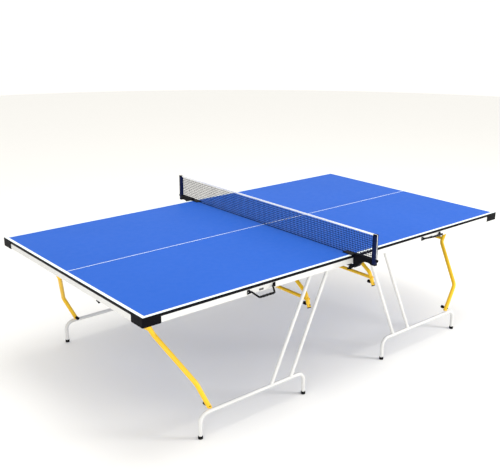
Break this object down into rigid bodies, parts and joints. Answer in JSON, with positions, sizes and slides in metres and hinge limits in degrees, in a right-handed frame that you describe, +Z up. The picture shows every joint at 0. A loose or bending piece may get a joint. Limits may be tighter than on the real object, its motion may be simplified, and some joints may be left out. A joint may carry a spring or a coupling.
{
  "type": "table tennis table",
  "caption": "Folding table tennis table in two halves, each on tube legs that fold under it and hinged along its seam to close into a flat case, with a clamped net",
  "frame": {"origin": "on the floor under the centre of the net", "axes": "+X along the table to the right half, +Y across it to the far side, +Z up"},
  "size_m": [2.745, 1.8552, 0.9125],
  "materials": {
    "blue_board": "matt painted board with white lines",
    "white_steel": "semi-gloss powder coat",
    "yellow_steel": "semi-gloss powder coat",
    "navy_steel": "semi-gloss paint",
    "black_steel": "satin paint",
    "steel": "zinc plated",
    "black_plastic": "fine texture",
    "black_gloss": "smooth moulded",
    "rubber": "matt",
    "navy_net": "knotted mesh",
    "white_tape": "woven tape",
    "white_cord": "braided cord"
  },
  "bodies": {
    "table_top": {"left_near_board": "blue_board", "left_far_board": "blue_board", "right_near_board": "blue_board", "right_far_board": "blue_board", "left_near_rails": "white_steel", "left_far_rails": "white_steel", "right_near_rails": "white_steel", "right_far_rails": "white_steel", "edge_trims": "black_plastic", "corner_guards": "black_plastic", "seam_hinge_leaves": "black_steel", "seam_hinge_pins": "steel", "leg_brackets": "black_plastic", "frame_saddles": "black_plastic", "leg_clips": "black_plastic", "handle_mounts": "black_plastic", "catch_plates": "black_plastic", "net_mesh": "navy_net", "net_tape": "white_tape", "net_cord": "white_cord", "net_posts": "navy_steel", "net_clamps": "black_steel"},
    "left_mid_frame": {"left_mid_tubes": "yellow_steel", "left_mid_fittings": "black_plastic", "left_mid_struts": "steel"},
    "left_end_frame": {"left_end_tubes": "yellow_steel", "left_end_fittings": "black_plastic", "left_end_struts": "steel"},
    "right_mid_frame": {"right_mid_tubes": "yellow_steel", "right_mid_fittings": "black_plastic", "right_mid_struts": "steel"},
    "right_end_frame": {"right_end_tubes": "yellow_steel", "right_end_fittings": "black_plastic", "right_end_struts": "steel"},
    "left_near_leg_frame": {"left_near_leg": "white_steel", "left_near_feet": "rubber"},
    "left_far_leg_frame": {"left_far_leg": "white_steel", "left_far_feet": "rubber"},
    "right_near_leg_frame": {"right_near_leg": "white_steel", "right_near_feet": "rubber"},
    "right_far_leg_frame": {"right_far_leg": "white_steel", "right_far_feet": "rubber"},
    "left_near_handle_bail": {"left_near_handle": "black_gloss"},
    "left_far_handle_bail": {"left_far_handle": "black_gloss"},
    "right_near_handle_bail": {"right_near_handle": "black_gloss"},
    "right_far_handle_bail": {"right_far_handle": "black_gloss"},
    "left_near_mid_pin_body": {"left_near_mid_pin": "black_plastic"},
    "left_far_mid_pin_body": {"left_far_mid_pin": "black_plastic"},
    "right_near_mid_pin_body": {"right_near_mid_pin": "black_plastic"},
    "right_far_mid_pin_body": {"right_far_mid_pin": "black_plastic"},
    "left_near_end_pin_body": {"left_near_end_pin": "black_plastic"},
    "left_far_end_pin_body": {"left_far_end_pin": "black_plastic"},
    "right_near_end_pin_body": {"right_near_end_pin": "black_plastic"},
    "right_far_end_pin_body": {"right_far_end_pin": "black_plastic"},
    "near_pad": {"near_clamp_pad": "rubber"},
    "near_screw": {"near_clamp_screw": "black_steel"},
    "near_knob": {"near_tension_knob": "black_plastic"},
    "far_pad": {"far_clamp_pad": "rubber"},
    "far_screw": {"far_clamp_screw": "black_steel"},
    "far_knob": {"far_tension_knob": "black_plastic"}
  },
  "joints": [
    {"name": "left_mid_fold", "type": "hinge", "parent": "table_top", "child": "left_mid_frame", "pos_m": [-0.256, 0, 0.716], "axis": [0, -1, 0], "range_deg": [0, 92]},
    {"name": "left_end_fold", "type": "hinge", "parent": "table_top", "child": "left_end_frame", "pos_m": [-1.25, 0, 0.716], "axis": [0, -1, 0], "range_deg": [0, 64]},
    {"name": "right_mid_fold", "type": "hinge", "parent": "table_top", "child": "right_mid_frame", "pos_m": [0.256, 0, 0.716], "axis": [0, 1, 0], "range_deg": [0, 92]},
    {"name": "right_end_fold", "type": "hinge", "parent": "table_top", "child": "right_end_frame", "pos_m": [1.25, 0, 0.716], "axis": [0, 1, 0], "range_deg": [0, 64]},
    {"name": "left_near_leg_fold", "type": "hinge", "parent": "table_top", "child": "left_near_leg_frame", "pos_m": [-0.2535, -0.7225, 0.716], "axis": [1, 0, 0], "range_deg": [0, 90]},
    {"name": "left_far_leg_fold", "type": "hinge", "parent": "table_top", "child": "left_far_leg_frame", "pos_m": [-0.2535, 0.7225, 0.716], "axis": [-1, 0, 0], "range_deg": [0, 90]},
    {"name": "right_near_leg_fold", "type": "hinge", "parent": "table_top", "child": "right_near_leg_frame", "pos_m": [0.2535, -0.7225, 0.716], "axis": [1, 0, 0], "range_deg": [0, 90]},
    {"name": "right_far_leg_fold", "type": "hinge", "parent": "table_top", "child": "right_far_leg_frame", "pos_m": [0.2535, 0.7225, 0.716], "axis": [-1, 0, 0], "range_deg": [0, 90]},
    {"name": "left_near_handle_swing", "type": "hinge", "parent": "table_top", "child": "left_near_handle_bail", "pos_m": [-0.68, -0.7695, 0.732], "axis": [-1, 0, 0], "range_deg": [-60, 60]},
    {"name": "left_far_handle_swing", "type": "hinge", "parent": "table_top", "child": "left_far_handle_bail", "pos_m": [-0.68, 0.7695, 0.732], "axis": [1, 0, 0], "range_deg": [-60, 60]},
    {"name": "right_near_handle_swing", "type": "hinge", "parent": "table_top", "child": "right_near_handle_bail", "pos_m": [0.68, -0.7695, 0.732], "axis": [-1, 0, 0], "range_deg": [-110, 10]},
    {"name": "right_far_handle_swing", "type": "hinge", "parent": "table_top", "child": "right_far_handle_bail", "pos_m": [0.68, 0.7695, 0.732], "axis": [1, 0, 0], "range_deg": [-60, 60]},
    {"name": "left_near_mid_pin_pull", "type": "slide", "parent": "left_mid_frame", "child": "left_near_mid_pin_body", "axis": [0, 1, 0], "range_m": [0, 0.01], "stiffness_N_per_m": 400, "springref_m": -0.005},
    {"name": "left_far_mid_pin_pull", "type": "slide", "parent": "left_mid_frame", "child": "left_far_mid_pin_body", "axis": [0, -1, 0], "range_m": [0, 0.01], "stiffness_N_per_m": 400, "springref_m": -0.005},
    {"name": "right_near_mid_pin_pull", "type": "slide", "parent": "right_mid_frame", "child": "right_near_mid_pin_body", "axis": [0, 1, 0], "range_m": [0, 0.01], "stiffness_N_per_m": 400, "springref_m": -0.005},
    {"name": "right_far_mid_pin_pull", "type": "slide", "parent": "right_mid_frame", "child": "right_far_mid_pin_body", "axis": [0, -1, 0], "range_m": [0, 0.01], "stiffness_N_per_m": 400, "springref_m": -0.005},
    {"name": "left_near_end_pin_pull", "type": "slide", "parent": "left_end_frame", "child": "left_near_end_pin_body", "axis": [0, 1, 0], "range_m": [0, 0.01], "stiffness_N_per_m": 400, "springref_m": -0.005},
    {"name": "left_far_end_pin_pull", "type": "slide", "parent": "left_end_frame", "child": "left_far_end_pin_body", "axis": [0, -1, 0], "range_m": [0, 0.01], "stiffness_N_per_m": 400, "springref_m": -0.005},
    {"name": "right_near_end_pin_pull", "type": "slide", "parent": "right_end_frame", "child": "right_near_end_pin_body", "axis": [0, 1, 0], "range_m": [0, 0.01], "stiffness_N_per_m": 400, "springref_m": -0.005},
    {"name": "right_far_end_pin_pull", "type": "slide", "parent": "right_end_frame", "child": "right_far_end_pin_body", "axis": [0, -1, 0], "range_m": [0, 0.01], "stiffness_N_per_m": 400, "springref_m": -0.005},
    {"name": "near_pad_slide", "type": "slide", "parent": "table_top", "child": "near_pad", "axis": [0, 0, 1], "range_m": [-0.0045, 0]},
    {"name": "near_screw_turn", "type": "hinge", "parent": "near_pad", "child": "near_screw", "pos_m": [0, -0.732, 0.7], "axis": [0, 0, 1], "range_deg": [0, 1081]},
    {"name": "near_tension_turn", "type": "hinge", "parent": "table_top", "child": "near_knob", "pos_m": [0, -0.92, 0.765], "axis": [0, -1, 0], "range_deg": [0, 180]},
    {"name": "far_pad_slide", "type": "slide", "parent": "table_top", "child": "far_pad", "axis": [0, 0, 1], "range_m": [-0.0045, 0]},
    {"name": "far_screw_turn", "type": "hinge", "parent": "far_pad", "child": "far_screw", "pos_m": [0, 0.732, 0.7], "axis": [0, 0, 1], "range_deg": [0, 1081]},
    {"name": "far_tension_turn", "type": "hinge", "parent": "table_top", "child": "far_knob", "pos_m": [0, 0.92, 0.765], "axis": [0, 1, 0], "range_deg": [0, 180]}
  ],
  "couplings": [
    {"joint": "left_near_leg_fold", "follows": "left_mid_fold", "ratio": 0.978},
    {"joint": "left_far_leg_fold", "follows": "left_mid_fold", "ratio": 0.978},
    {"joint": "right_near_leg_fold", "follows": "right_mid_fold", "ratio": 0.978},
    {"joint": "right_far_leg_fold", "follows": "right_mid_fold", "ratio": 0.978},
    {"joint": "near_screw_turn", "follows": "near_pad_slide", "rad_per_m": -4188.8},
    {"joint": "far_screw_turn", "follows": "far_pad_slide", "rad_per_m": -4188.8}
  ]
}
